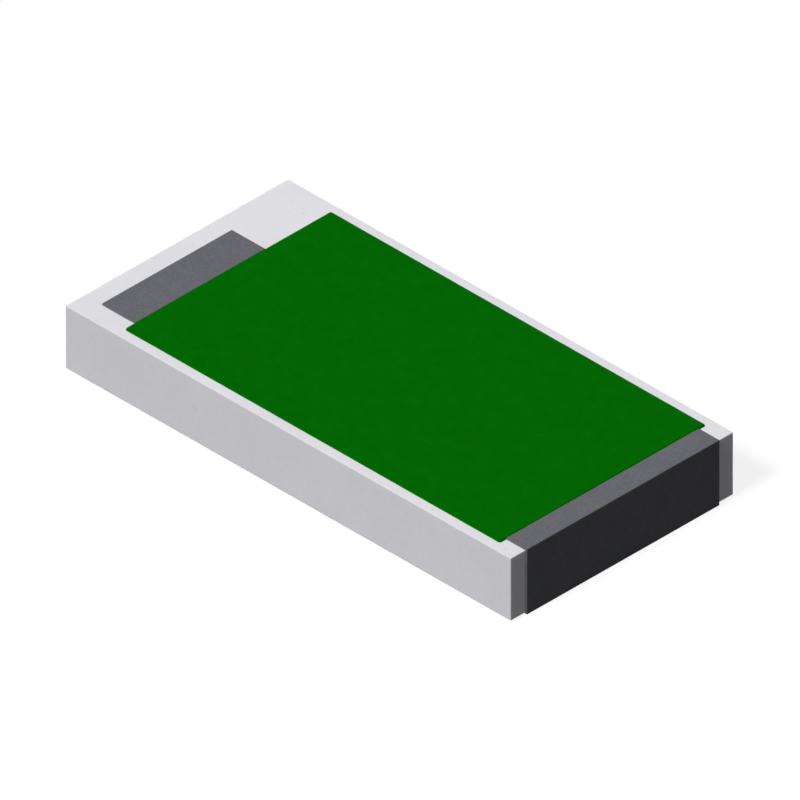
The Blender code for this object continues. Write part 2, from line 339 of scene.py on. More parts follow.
@dataclass(frozen=True)
class PlatedMetal:
    """Matte plating: packed crystals of slightly different tone over a soft cloud, with fine grit."""

    name: str
    light: Colour
    dark: Colour
    metallic: float
    specular: float
    roughness: Span
    crystals_per_mm: float = 34.0
    clouds_per_mm: float = 5.0
    crystal_tone: float = 0.35
    cloud_tone: float = 0.35
    grit_tone: float = 0.3
    crystal_relief: float = 0.7
    grit_relief: float = 0.3
    tone_span: Span = (0.3, 0.62)
    depth: float = 0.6 * MICRON

    def material(self) -> bpy.types.Material:
        """Writes the finish. The grit is twice as fine as the crystals.

        Returns:
            The material.
        """
        material, recipe = new_recipe(self.name)
        place = recipe.millimetres()
        crystals = recipe.crystals(place, self.crystals_per_mm)
        clouds = recipe.noise(place, self.clouds_per_mm, octaves=3.0)
        grit = recipe.noise(place, 2.0 * self.crystals_per_mm, octaves=1.0)
        tone = crystals * self.crystal_tone + clouds * self.cloud_tone + grit * self.grit_tone
        height = 1.0 - crystals * self.crystal_relief + grit * self.grit_relief
        recipe.surface(
            Base_Color=recipe.blend(tone.ramp(self.tone_span), self.light, self.dark),
            Roughness=grit.ramp(NOISE_SPAN, self.roughness),
            Metallic=self.metallic,
            Specular_IOR_Level=self.specular,
            Normal=recipe.relief(height, self.depth),
        )
        return material


@dataclass(frozen=True)
class FiredPaste:
    """A fired film that is sealed inside the chip: glassy, with grains of its filler."""

    name: str
    light: Colour
    dark: Colour
    metallic: float
    roughness: Span
    grains_per_mm: float = 60.0
    clouds_per_mm: float = 6.0
    grain_tone: float = 0.5
    grain_relief: float = 0.6
    tone_span: Span = (0.25, 0.65)
    depth: float = 0.4 * MICRON

    def material(self) -> bpy.types.Material:
        """Writes the finish: grains and clouds share the tone and the relief.

        Returns:
            The material.
        """
        material, recipe = new_recipe(self.name)
        place = recipe.millimetres()
        grains = recipe.crystals(place, self.grains_per_mm)
        clouds = recipe.noise(place, self.clouds_per_mm, octaves=3.0)
        tone = grains * self.grain_tone + clouds * (1.0 - self.grain_tone)
        height = grains * self.grain_relief + clouds * (1.0 - self.grain_relief)
        recipe.surface(
            Base_Color=recipe.blend(tone.ramp(self.tone_span), self.light, self.dark),
            Roughness=clouds.ramp(NOISE_SPAN, self.roughness),
            Metallic=self.metallic,
            Normal=recipe.relief(height, self.depth),
        )
        return material


ALUMINA = FiredAlumina()
OVERCOAT = PrintedOvercoat()
TIN = PlatedMetal(
    name="matte_tin", light=(0.152, 0.155, 0.17), dark=(0.129, 0.132, 0.147),
    metallic=0.0, specular=0.03, roughness=(0.49, 0.63),
)
NICKEL = PlatedMetal(
    name="plated_nickel", light=(0.32, 0.3, 0.26), dark=(0.26, 0.24, 0.2),
    metallic=0.85, specular=0.5, roughness=(0.32, 0.46), crystals_per_mm=50.0,
)
SILVER = FiredPaste(
    name="fired_silver", light=(0.3, 0.3, 0.32), dark=(0.22, 0.22, 0.24),
    metallic=0.2, roughness=(0.44, 0.56),
)
RUTHENIUM = FiredPaste(
    name="ruthenium_oxide", light=(0.03, 0.03, 0.033), dark=(0.015, 0.015, 0.017),
    metallic=0.1, roughness=(0.34, 0.46),
)
GLAZE = FiredPaste(
    name="sealing_glass", light=(0.34, 0.42, 0.36), dark=(0.26, 0.34, 0.28),
    metallic=0.0, roughness=(0.09, 0.21), grains_per_mm=25.0,
)


def merged_lines(low: float, high: float, *groups: Iterable[float]) -> Grid:
    """Grid lines across a span, in order, with those that nearly meet made one.

    Args:
        low: start of the span, always a line.
        high: end of the span, always a line.
        groups: lines to merge; those outside the span are left out.

    Returns:
        The lines.
    """
    lines = np.concatenate([[low, high], *[np.atleast_1d(group) for group in groups]])
    inside = lines[(lines > low - LINE_STEP / 2) & (lines < high + LINE_STEP / 2)]
    return np.unique(np.round(inside / LINE_STEP)) * LINE_STEP


def rim_lines(edge: float, inwards: float, width: float) -> Grid:
    """Lines that crowd towards an edge: the way in, 1 or -1, times the width times even steps squared."""
    return edge + inwards * width * np.linspace(0.0, 1.0, RIM_LINES) ** 2


def even_lines(low: float, high: float, step: float) -> Grid:
    """Lines about one step apart from low to high."""
    return np.linspace(low, high, max(2, int(round((high - low) / step)) + 1))


def print_lines(low: float, high: float, rim: float, cell: float, steps: Iterable[Iterable[float]]) -> Grid:
    """Grid lines one way across a print: crowded at both edges, even inside, and at each step below."""
    crowded = (rim_lines(low, 1.0, rim), rim_lines(high, -1.0, rim))
    return merged_lines(low, high, *crowded, even_lines(low, high, cell), *steps)


def two_sheets(x: Grid, y: Grid, upper: Grid, lower: Grid) -> Grid:
    """The points of two sheets that lie over each other."""
    return np.stack([np.stack([x, y, height], -1) for height in (upper, lower)])


def bead(distance: Grid, width: float, power: float) -> Grid:
    """Height of a rounded rim, 0 to 1: the power's root of 1 less the power of the width still left."""
    left = 1.0 - np.clip(distance / width, 0.0, 1.0)
    return (1.0 - left ** power) ** (1.0 / power)


def smooth_share(distance: Grid, run: float) -> Grid:
    """Distance over a run, eased at both ends: three squares less two cubes."""
    share = np.clip(distance / run, 0.0, 1.0)
    return share * share * (3.0 - 2.0 * share)


def ripple(first: Grid, second: Grid, lengths: Span, seed: int) -> Grid:
    """Uneven waves: a sum of cosines whose headings and phases are drawn from a seed.

    Args:
        first: one coordinate, in metres.
        second: the other coordinate, in metres.
        lengths: longest and shortest wave.
        seed: seed of the draw.

    Returns:
        Heights from 0 to 1, held there.
    """
    draw = np.random.default_rng(seed)
    headings = draw.uniform(0.0, math.pi, RIPPLE_WAVES)
    phases = draw.uniform(0.0, 2.0 * math.pi, RIPPLE_WAVES)
    along = np.multiply.outer(first, np.cos(headings)) + np.multiply.outer(second, np.sin(headings))
    turns = along / np.geomspace(*lengths, RIPPLE_WAVES)
    height = np.cos(2.0 * math.pi * turns + phases).sum(-1) / math.sqrt(2.0 * RIPPLE_WAVES)
    return 0.5 + 0.5 * np.clip(height, -1.0, 1.0)


@dataclass(frozen=True)
class Outline:
    """A rectangle in the plane of a print, with rounded corners."""

    left: float
    right: float
    front: float
    back: float
    corner: float = 0.0

    @classmethod
    def of(cls, node: str, corner: float = 0.0) -> "Outline":
        """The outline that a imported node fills, seen from above, with corners of this radius."""
        low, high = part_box(node)
        return cls(low.x, high.x, low.y, high.y, corner)

    def distance(self, x: Grid, y: Grid) -> Grid:
        """Distance of points inside the outline.

        The points' places are measured from the rectangle that the corner arcs are centred on.
        Past both of its sides the distance is the corner's radius less the way to its corner.

        Args:
            x: X of the points.
            y: Y of the points.

        Returns:
            Distance to the outline, negative outside.
        """
        past_x = np.maximum(self.left + self.corner - x, x - self.right + self.corner)
        past_y = np.maximum(self.front + self.corner - y, y - self.back + self.corner)
        outside = np.hypot(np.maximum(past_x, 0.0), np.maximum(past_y, 0.0))
        return self.corner - outside - np.minimum(np.maximum(past_x, past_y), 0.0)

    def rounded(self, x: Grid, y: Grid, square_right: bool = False) -> tuple[Grid, Grid]:
        """Bends a square grid so that its rim follows the rounded corners.

        In each corner's square, a point's shares of X and Y run from 0 to 1 towards the rim. Each
        is multiplied by the root of 1 less half the other's square, which maps the square to a
        quarter disc.

        Args:
            x: X of the grid's points.
            y: Y of the grid's points.
            square_right: whether the right end keeps square corners.

        Returns:
            The bent X and Y.
        """
        middle_x = (self.left + self.right) / 2.0
        middle_y = (self.front + self.back) / 2.0
        half_x = (self.right - self.left) / 2.0 - self.corner
        half_y = (self.back - self.front) / 2.0 - self.corner
        side_x, side_y = np.sign(x - middle_x), np.sign(y - middle_y)
        share_x = np.clip((np.abs(x - middle_x) - half_x) / self.corner, 0.0, 1.0)
        share_y = np.clip((np.abs(y - middle_y) - half_y) / self.corner, 0.0, 1.0)
        bent = (share_x > 0.0) & (share_y > 0.0) & ((side_x < 0.0) | (not square_right))
        bent_x = np.where(bent, share_x * np.sqrt(1.0 - share_y * share_y / 2.0), share_x)
        bent_y = np.where(bent, share_y * np.sqrt(1.0 - share_x * share_x / 2.0), share_y)
        return x + side_x * (bent_x - share_x) * self.corner, y + side_y * (bent_y - share_y) * self.corner


@dataclass(frozen=True)
class FilmBelow:
    """A packed film that others are printed over: its outline and its own thickness."""

    outline: Outline
    height: float

    def relief(self, x: Grid, y: Grid) -> Grid:
        """The film's height at points: rising over its slope, then even."""
        return self.height * np.clip(self.outline.distance(x, y) / FILM_SLOPE, 0.0, 1.0)

    def lines(self) -> tuple[list[float], list[float]]:
        """X of the lines across the chip and Y of those along it, at the film's outline and slope."""
        edge = self.outline
        return (
            [edge.left, edge.left + FILM_SLOPE, edge.right - FILM_SLOPE, edge.right],
            [edge.front, edge.front + FILM_SLOPE, edge.back - FILM_SLOPE, edge.back],
        )


def shell_faces(rows: int, columns: int) -> Grid:
    """Faces of a closed shell between two sheets of the same grid.

    A point's number is its row times the columns plus its column, and the inner sheet's numbers
    follow the outer's. Each cell has one face on each sheet, and the border has a wall. In two
    opposite quarters of the grid a face starts one point on. Every cell is then split towards the
    middle, and none at a corner of the grid is cut off flat where both sheets meet on the border.

    Args:
        rows: lines of the grid one way.
        columns: lines of the grid the other way.

    Returns:
        Four point numbers for each face.
    """
    number = np.arange(rows * columns).reshape(rows, columns)
    cells = np.stack([number[:-1, :-1], number[1:, :-1], number[1:, 1:], number[:-1, 1:]], -1)
    early_row = np.arange(rows - 1)[:, None] < rows // 2
    early_column = np.arange(columns - 1)[None] < columns // 2
    turned = (early_row != early_column)[..., None]
    outer = np.where(turned, np.roll(cells, 1, axis=-1), cells).reshape(-1, 4)
    sides = [number[0, :-1], number[:-1, -1], number[-1, :0:-1], number[:0:-1, 0]]
    border = np.concatenate(sides)
    ahead = np.roll(border, -1)
    inside = rows * columns
    wall = np.stack([border, ahead, ahead + inside, border + inside], -1)
    return np.concatenate([outer, outer + inside, wall])


def ring_faces(rings: int, count: int) -> Grid:
    """Faces of a surface made of closed rings, each joined to the next.

    Args:
        rings: number of rings.
        count: points in each ring.

    Returns:
        Four point numbers for each face.
    """
    number = np.arange(rings * count).reshape(rings, count)
    ahead = np.roll(number, -1, axis=1)
    corners = [number[:-1], number[1:], ahead[1:], ahead[:-1]]
    return np.stack(corners, -1).reshape(-1, 4)


def make_piece(name: str, points: Grid, faces: Grid, finish: bpy.types.Material,
               replaced: str) -> bpy.types.Object:
    """Puts a worked-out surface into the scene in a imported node's place.

    Args:
        name: the piece's name.
        points: the surface's points.
        faces: its faces, as numbers of points.
        finish: its material.
        replaced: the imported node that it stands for.

    Returns:
        The new object.
    """
    used, numbers = np.unique(faces, return_inverse=True)
    mesh = bpy.data.meshes.new(name)
    mesh.from_pydata(points.reshape(-1, 3)[used].tolist(), [], numbers.reshape(-1, 4).tolist())
    shape = bmesh.new()
    shape.from_mesh(mesh)
    bmesh.ops.remove_doubles(shape, verts=shape.verts, dist=SAME_POINT)
    bmesh.ops.recalc_face_normals(shape, faces=shape.faces)
    shape.to_mesh(mesh)
    shape.free()
    mesh.shade_smooth()
    mesh.set_sharp_from_angle(angle=SHARP_ANGLE)
    mesh.materials.append(finish)
    piece = bpy.data.objects.new(name, mesh)
    bpy.context.scene.collection.objects.link(piece)
    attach(piece, BODY)
    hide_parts(replaced)
    LOG.info("%s: %d faces, for %s", name, len(mesh.polygons), replaced)
    return piece


@dataclass
class Substrate:
    """The alumina plate: flat printed faces, broken edges and sides that were scored and snapped.

    The smooth band at both edges, the score and its fade are shares of the plate's height.
    """

    low: Vector
    high: Vector
    edge_radius: float = 6 * MICRON
    edge_steps: int = 6
    cell: float = 20 * MICRON
    inner_rings: int = 8
    smooth_band: float = 0.03
    score_share: float = 0.32
    score_fade: float = 0.1
    score_pitch: float = 0.12 * MM
    score_depth: float = 0.25 * MICRON
    snap_depth: float = 0.9 * MICRON
    snap_waves: Span = (0.45 * MM, 0.07 * MM)
    snap_seed: int = 11

    def perimeter(self) -> tuple[Grid, Grid, Grid]:
        """Points round the plate on the rectangle that the edge arcs are centred on.

        Returns:
            Places of the points, their outward directions and their distance round the plate.
        """
        half = np.array([self.high.x - self.low.x, self.high.y - self.low.y]) / 2.0 - self.edge_radius
        corners = half * np.array([[-1, -1], [1, -1], [1, 1], [-1, 1]])
        places, outwards = [], []
        for number, corner in enumerate(corners):
            following = corners[(number + 1) % 4]
            count = int(np.abs(following - corner).sum() / self.cell)
            share = np.linspace(0.0, 1.0, count + 1)[:, None]
            places.append(corner + (following - corner) * share)
            heading = math.radians(90.0 * number - 90.0)
            side = np.array([math.cos(heading), math.sin(heading)])
            outwards.append(np.repeat(side[None, :], count + 1, axis=0))
            turns = heading + np.radians(np.linspace(0.0, 90.0, self.edge_steps)[1:-1])
            places.append(np.repeat(following[None, :], len(turns), axis=0))
            outwards.append(np.stack([np.cos(turns), np.sin(turns)], -1))
        place, outward = np.concatenate(places), np.concatenate(outwards)
        steps = np.linalg.norm(np.diff(place, axis=0, prepend=place[:1]), axis=1)
        return place, outward, np.cumsum(steps)

    def profile(self) -> tuple[Grid, Grid, Grid]:
        """The section that goes round: in from the roof line, over the edge, down and under.

        Returns:
            How far each ring is drawn in, how far it is set out, and its height.
        """
        radius = self.edge_radius
        half_width = (self.high.y - self.low.y) / 2.0 - radius
        drawn_in = half_width * np.linspace(1.0, 0.0, self.inner_rings)[:-1] ** 2
        flat = np.zeros(len(drawn_in))
        arc = np.linspace(0.0, math.pi / 2.0, self.edge_steps)
        side = even_lines(self.low.z + radius, self.high.z - radius, self.cell)[-2:0:-1]
        inset = [drawn_in, np.zeros(2 * len(arc) + len(side)), drawn_in[::-1]]
        offset = [flat, radius * np.sin(arc), np.full(len(side), radius), radius * np.cos(arc), flat]
        height = [flat + self.high.z, self.high.z - radius + radius * np.cos(arc), side,
                  self.low.z + radius - radius * np.sin(arc), flat + self.low.z]
        return np.concatenate(inset), np.concatenate(offset), np.concatenate(height)

    def side_relief(self, around: Grid, height: Grid) -> Grid:
        """How deep the side lies below its flat: waves of the score above, and of the break below.

        Args:
            around: distance round the plate.
            height: height of the points.

        Returns:
            Depth in metres, never negative.
        """
        down = (self.high.z - height) / (self.high.z - self.low.z)
        off_edges = smooth_share(down, self.smooth_band) * smooth_share(1.0 - down, self.smooth_band)
        broken = smooth_share(down - self.score_share, self.score_fade)
        fracture = ripple(around, height, self.snap_waves, self.snap_seed)
        score = 0.5 + 0.5 * np.cos(2.0 * math.pi * around / self.score_pitch)
        depth = self.snap_depth * fracture * broken + self.score_depth * score * (1.0 - broken)
        return off_edges * depth

    def build(self) -> bpy.types.Object:
        """Makes the plate.

        A ring's point is the perimeter's point, drawn in towards the middle line by the ring's
        inset, plus its outward direction times the ring's offset. The relief is taken off the
        offset on the upright sides.

        Returns:
            The new object.
        """
        place, outward, around = self.perimeter()
        inset, offset, height = self.profile()
        middle = np.array([self.high.x + self.low.x, self.high.y + self.low.y]) / 2.0
        half = np.abs(place).max(axis=0)
        drawn = place[None] * (1.0 - inset[:, None, None] / half)
        ring_height = np.repeat(height[:, None], len(place), axis=1)
        upright = np.isclose(offset, self.edge_radius, atol=SAME_POINT)[:, None]
        depth = upright * self.side_relief(np.repeat(around[None], len(height), axis=0), ring_height)
        flat = middle + drawn + outward[None] * (offset[:, None] - depth)[..., None]
        points = np.concatenate([flat, ring_height[..., None]], -1)
        faces = ring_faces(len(height), len(place))
        return make_piece("alumina_body", points, faces, ALUMINA.material(), "alumina_plate")


@dataclass(frozen=True)
class LaserCut:
    """The trimming cut under the overcoat: in from the front side, then along the current."""

    electrode_end: float
    film_front: float
    glaze_front: float
    width: float = 0.05 * MM
    offset: float = 0.65 * MM
    plunge: float = 0.4 * MM
    leg: float = 0.7 * MM
    run_in: float = 0.02 * MM
    wall: float = 0.3 * MICRON

    def bars(self) -> tuple[Outline, Outline]:
        """The two bars of overcoat that fill the cut, with a clearance to its sides.

        Returns:
            The bar that goes in and the one that goes along.
        """
        left = self.electrode_end + self.offset + CONTACT_GAP
        right = self.electrode_end + self.offset + self.width - CONTACT_GAP
        end = self.film_front + self.plunge - CONTACT_GAP
        turn = end + 2 * CONTACT_GAP - self.width
        return (
            Outline(left, right, self.glaze_front - self.run_in, end),
            Outline(left, right + self.leg, turn, end),
        )

    def share(self, x: Grid, y: Grid) -> Grid:
        """1 inside the cut and 0 outside, with a steep wall between."""
        depths = [np.clip(bar.distance(x, y) / self.wall, 0.0, 1.0) for bar in self.bars()]
        return np.maximum(*depths)

    def lines(self) -> tuple[list[float], list[float]]:
        """Lines along both edges of the cut's walls.

        Returns:
            X of the lines across the chip, and Y of those along it.
        """
        bars, wall = self.bars(), self.wall
        across = [x for bar in bars for x in (bar.left, bar.left + wall, bar.right - wall, bar.right)]
        along = [y for bar in bars for y in (bar.front, bar.front + wall, bar.back - wall, bar.back)]
        return across, along


@dataclass
class Overcoat:
    """The green print: a rounded rim, a levelled top and an underside that follows the films."""

    plate_top: float
    top: float
    outline: Outline
    films: list[FilmBelow]
    cut: LaserCut
    least_cover: float
    edge_height: float = 20 * MICRON
    rim_width: float = 12 * MICRON
    rim_power: float = 2.1
    levelling: float = 0.18 * MM
    cell: float = 30 * MICRON
    recede: float = 1.6 * MICRON
    recede_reach: float = 60 * MICRON
    recede_waves: Span = (0.6 * MM, 0.12 * MM)
    recede_seeds: tuple[int, int] = (5, 6)

    def underside(self, x: Grid, y: Grid) -> Grid:
        """Height over the plate: all films and a clearance, and in the cut twice the clearance."""
        stack = sum(film.relief(x, y) for film in self.films) + CONTACT_GAP
        return stack + (2 * CONTACT_GAP - stack) * self.cut.share(x, y)

    def upper(self, x: Grid, y: Grid, inside: Grid) -> Grid:
        """Height over the plate of the overcoat's top.

        The level rises from the edge height to the full height, eased across and along. The
        cover is the level less what is below, and never under the least cover. The rim's bead
        takes it from nothing to all.

        Args:
            x: X of the points.
            y: Y of the points.
            inside: distance inside the outline.

        Returns:
            The height.
        """
        edge = self.outline
        across = smooth_share(np.minimum(x - edge.left, edge.right - x), self.levelling)
        along = smooth_share(np.minimum(y - edge.front, edge.back - y), self.levelling)
        full = self.top - self.plate_top
        level = self.edge_height + (full - self.edge_height) * across * along
        below = sum(film.relief(x, y) for film in self.films)
        cover = np.maximum(level - below, self.least_cover) - CONTACT_GAP
        return below + CONTACT_GAP + cover * bead(inside, self.rim_width, self.rim_power)

    def lines(self) -> tuple[Grid, Grid]:
        """Lines of the grid: crowded at the rim, even inside, and at every step below.

        Returns:
            X of the lines across the chip, and Y of those along it.
        """
        edge = self.outline
        rim = max(self.rim_width, edge.corner)
        across, along = zip(*[film.lines() for film in self.films], self.cut.lines())
        xs = print_lines(edge.left, edge.right, rim, self.cell, across)
        ys = print_lines(edge.front, edge.back, rim, self.cell, along)
        return xs, ys

    def set_back(self, x: Grid, y: Grid, inside: Grid) -> tuple[Grid, Grid]:
        """Draws the rim in by uneven waves, which fade out inwards and away from each side.

        Args:
            x: X of the points.
            y: Y of the points.
            inside: distance inside the outline.

        Returns:
            The moved X and Y.
        """
        edge, reach = self.outline, self.recede_reach
        fade = self.recede * (1.0 - smooth_share(inside, reach))
        still = np.zeros_like(x)
        wave_x = ripple(still, y, self.recede_waves, self.recede_seeds[0])
        wave_y = ripple(x, still, self.recede_waves, self.recede_seeds[1])
        near_x = np.clip(1.0 - np.minimum(x - edge.left, edge.right - x) / reach, 0.0, 1.0)
        near_y = np.clip(1.0 - np.minimum(y - edge.front, edge.back - y) / reach, 0.0, 1.0)
        in_x = np.sign((edge.left + edge.right) / 2.0 - x) * fade * wave_x * near_x
        in_y = np.sign((edge.front + edge.back) / 2.0 - y) * fade * wave_y * near_y
        return x + in_x, y + in_y

    def build(self) -> bpy.types.Object:
        """Makes the overcoat from its two sheets.

        Returns:
            The new object.
        """
        xs, ys = self.lines()
        x, y = self.outline.rounded(*np.meshgrid(xs, ys, indexing="ij"))
        inside = self.outline.distance(x, y)
        upper = self.plate_top + self.upper(x, y, inside)
        lower = self.plate_top + self.underside(x, y)
        sheets = two_sheets(*self.set_back(x, y, inside), upper, lower)
        faces = shell_faces(len(xs), len(ys))
        finish = OVERCOAT.material()
        return make_piece("overcoat_print", sheets, faces, finish, "green_overcoat")


@dataclass(frozen=True)
class PlatedRim:
    """Section of the plated metal at its edge, by distance inside the electrode's outline."""

    electrode: float
    full: float
    width: float = 8 * MICRON
    power: float = 2.5

    def under_tin(self, inset: Grid) -> Grid:
        """Height of the nickel's top and a clearance: electrode slope and nickel slope, added.

        Args:
            inset: distance inside the electrode's outline.

        Returns:
            The height over the face.
        """
        silver = self.electrode * np.clip(inset / FILM_SLOPE, 0.0, 1.0)
        nickel = NICKEL_THICKNESS * np.clip((inset + PLATING_SPREAD) / PLATING_SPREAD, 0.0, 1.0)
        return silver + nickel + CONTACT_GAP

    def tin_top(self, inset: Grid) -> Grid:
        """Height of the tin's top: a bead over the whole rim, never below the nickel."""
        rounded = self.full * bead(inset + 2 * PLATING_SPREAD, self.width, self.power)
        return np.maximum(rounded, self.under_tin(inset))

    def insets(self) -> Grid:
        """Distances inside the electrode's outline that the rim needs lines at."""
        crowded = rim_lines(-2 * PLATING_SPREAD, 1.0, self.width)
        return np.unique(np.concatenate([crowded, [-PLATING_SPREAD, 0.0, FILM_SLOPE]]))


@dataclass
class InputTin:
    """Tin on the input electrode, up to the overcoat's edge."""

    plate_top: float
    electrode: Outline
    tin: Outline
    rim: PlatedRim
    cell: float = 30 * MICRON

    def build(self) -> bpy.types.Object:
        """Makes the tin: its top is the rim's bead, and its underside follows the nickel.

        Both are worked out with the right side moved past the overcoat's edge, so that the tin
        meets the overcoat at its full height.

        Returns:
            The new object.
        """
        silver, tin = self.electrode, self.tin
        insets = self.rim.insets()
        even_x = even_lines(tin.left, tin.right, self.cell)
        even_y = even_lines(tin.front, tin.back, self.cell)
        xs = merged_lines(tin.left, tin.right, silver.left + insets, even_x)
        ys = merged_lines(tin.front, tin.back, silver.front + insets, silver.back - insets, even_y)
        x, y = tin.rounded(*np.meshgrid(xs, ys, indexing="ij"), square_right=True)
        open_tin = replace(tin, right=tin.right + tin.corner + self.rim.width)
        open_silver = replace(silver, right=open_tin.right)
        under = self.rim.under_tin(open_silver.distance(x, y))
        upper = np.maximum(self.rim.tin_top(open_tin.distance(x, y) - 2 * PLATING_SPREAD), under)
        sheets = two_sheets(x, y, self.plate_top + upper, self.plate_top + under)
        faces = shell_faces(len(xs), len(ys))
        return make_piece("input_tin_finish", sheets, faces, TIN.material(), "input_tin")


@dataclass
class WrappedTin:
    """Tin round the wrapped end, in one skin: on top, down the end and under the plate."""

    plate_low: Vector
    plate_high: Vector
    coat_edge: float
    ground: Outline
    rim: PlatedRim
    fold_radius: float = 4 * MICRON
    fold_steps: int = 7
    fold_reach: float = 8 * MICRON
    cell: float = 30 * MICRON
    long_cell: float = 90 * MICRON
    folds: Span = field(init=False)
    length: float = field(init=False)

    def __post_init__(self) -> None:
        """Works out where the path folds and how long it is on bare alumina."""
        first = self.plate_high.x - self.coat_edge
        second = first + self.plate_high.z - self.plate_low.z
        self.folds = (first, second)
        self.length = second + self.plate_high.x - self.ground.left

    def lines(self) -> tuple[Grid, Grid]:
        """Lines of the grid: crowded at the rim and at both folds, and wide underneath.

        Returns:
            The lines along the path and those across it.
        """
        first, second = self.folds
        insets = self.rim.insets()
        reach = self.fold_reach
        wide = self.ground.back + 2 * PLATING_SPREAD
        along = merged_lines(
            0.0, self.length + 2 * PLATING_SPREAD,
            even_lines(0.0, first - reach, self.cell),
            np.linspace(first - reach, first + reach, self.fold_steps),
            even_lines(first + reach, second - reach, self.cell),
            np.linspace(second - reach, second + reach, self.fold_steps),
            even_lines(second + reach, self.length - FILM_SLOPE, self.long_cell),
            self.length - insets,
        )
        rim = self.ground.back - insets
        across = merged_lines(-wide, wide, rim, -rim, even_lines(-rim.min(), rim.min(), self.cell))
        return along, across

    def heights(self, path: Grid, y: Grid, outer: bool) -> tuple[Grid, Grid]:
        """Height over the top and end faces, and height under the plate.

        Args:
            path: distance along the path.
            y: place across it.
            outer: whether it is the tin's outer surface or the one on the nickel.

        Returns:
            Both heights.
        """
        height_of = self.rim.tin_top if outer else self.rim.under_tin
        inset = self.ground.back - np.abs(y)
        return height_of(inset), height_of(np.minimum(inset, self.length - path))

    def folded(self, path: Grid, above: Grid, below: Grid, radius: float) -> tuple[Grid, Grid]:
        """X and Z on the path, with both folds rounded.

        A fold's corner stands out by the heights of its two faces. Between the fold's ends the
        point turns a quarter circle about a centre one radius inside that corner. On the legs
        the points are spread evenly between the ends of the folds.

        Args:
            path: distance along the path.
            above: height over the top and end faces.
            below: height under the plate.
            radius: radius of the folds.

        Returns:
            X and Z.
        """
        first, second = self.folds
        reach = self.fold_reach
        upper_radius = np.minimum(radius, above)
        lower_radius = np.minimum(upper_radius, below)
        end_x = self.plate_high.x + above
        top_z = self.plate_high.z + above
        under_z = self.plate_low.z - below
        upper_turn = np.clip((path - first + reach) / (2 * reach), 0.0, 1.0) * math.pi / 2
        lower_turn = np.clip((path - second + reach) / (2 * reach), 0.0, 1.0) * math.pi / 2
        top_share = np.clip(path / (first - reach), 0.0, 1.0)
        end_share = (path - first - reach) / (second - first - 2 * reach)
        under_share = (path - second - reach) / (self.length - second - reach)
        top_x = self.coat_edge + (end_x - upper_radius - self.coat_edge) * top_share
        x_upper = top_x + upper_radius * np.sin(upper_turn)
        x_lower = end_x - lower_radius * (1.0 - np.cos(lower_turn))
        x_under = end_x - lower_radius + (self.ground.left - end_x + lower_radius) * under_share
        z_upper = top_z - upper_radius * (1.0 - np.cos(upper_turn))
        z_end = top_z - upper_radius + (under_z + lower_radius - top_z + upper_radius) * end_share
        z_lower = under_z + lower_radius * (1.0 - np.sin(lower_turn))
        legs = [path <= first + reach, path <= second - reach, path <= second + reach]
        x = np.select(legs, [x_upper, end_x, x_lower], x_under)
        z = np.select(legs, [z_upper, z_end, z_lower], under_z)
        return x, z

    def build(self) -> bpy.types.Object:
        """Makes the skin from its outer surface and the one on the nickel.

        Returns:
            The new object.
        """
        along, across = self.lines()
        path, y = np.meshgrid(along, across, indexing="ij")
        sheets = []
        for outer, radius in ((True, self.fold_radius), (False, CONTACT_GAP)):
            above, below = self.heights(path, y, outer)
            x, z = self.folded(path, above, below, radius)
            sheets.append(np.stack([x, y, z], -1))
        faces = shell_faces(len(along), len(across))
        return make_piece("end_tin_finish", np.stack(sheets), faces, TIN.material(), "end_tin")


@dataclass
class SealedFilms:
    """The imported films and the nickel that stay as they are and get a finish."""

    finishes: dict[str, FiredPaste | PlatedMetal]

    def dress(self) -> None:
        """Gives each node its finish."""
        made: dict[str, bpy.types.Material] = {}
        for node, finish in self.finishes.items():
            if finish.name not in made:
                made[finish.name] = finish.material()
            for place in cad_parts[node].material_slots:
                place.material = made[finish.name]
            LOG.info("%s: %s", node, finish.name)


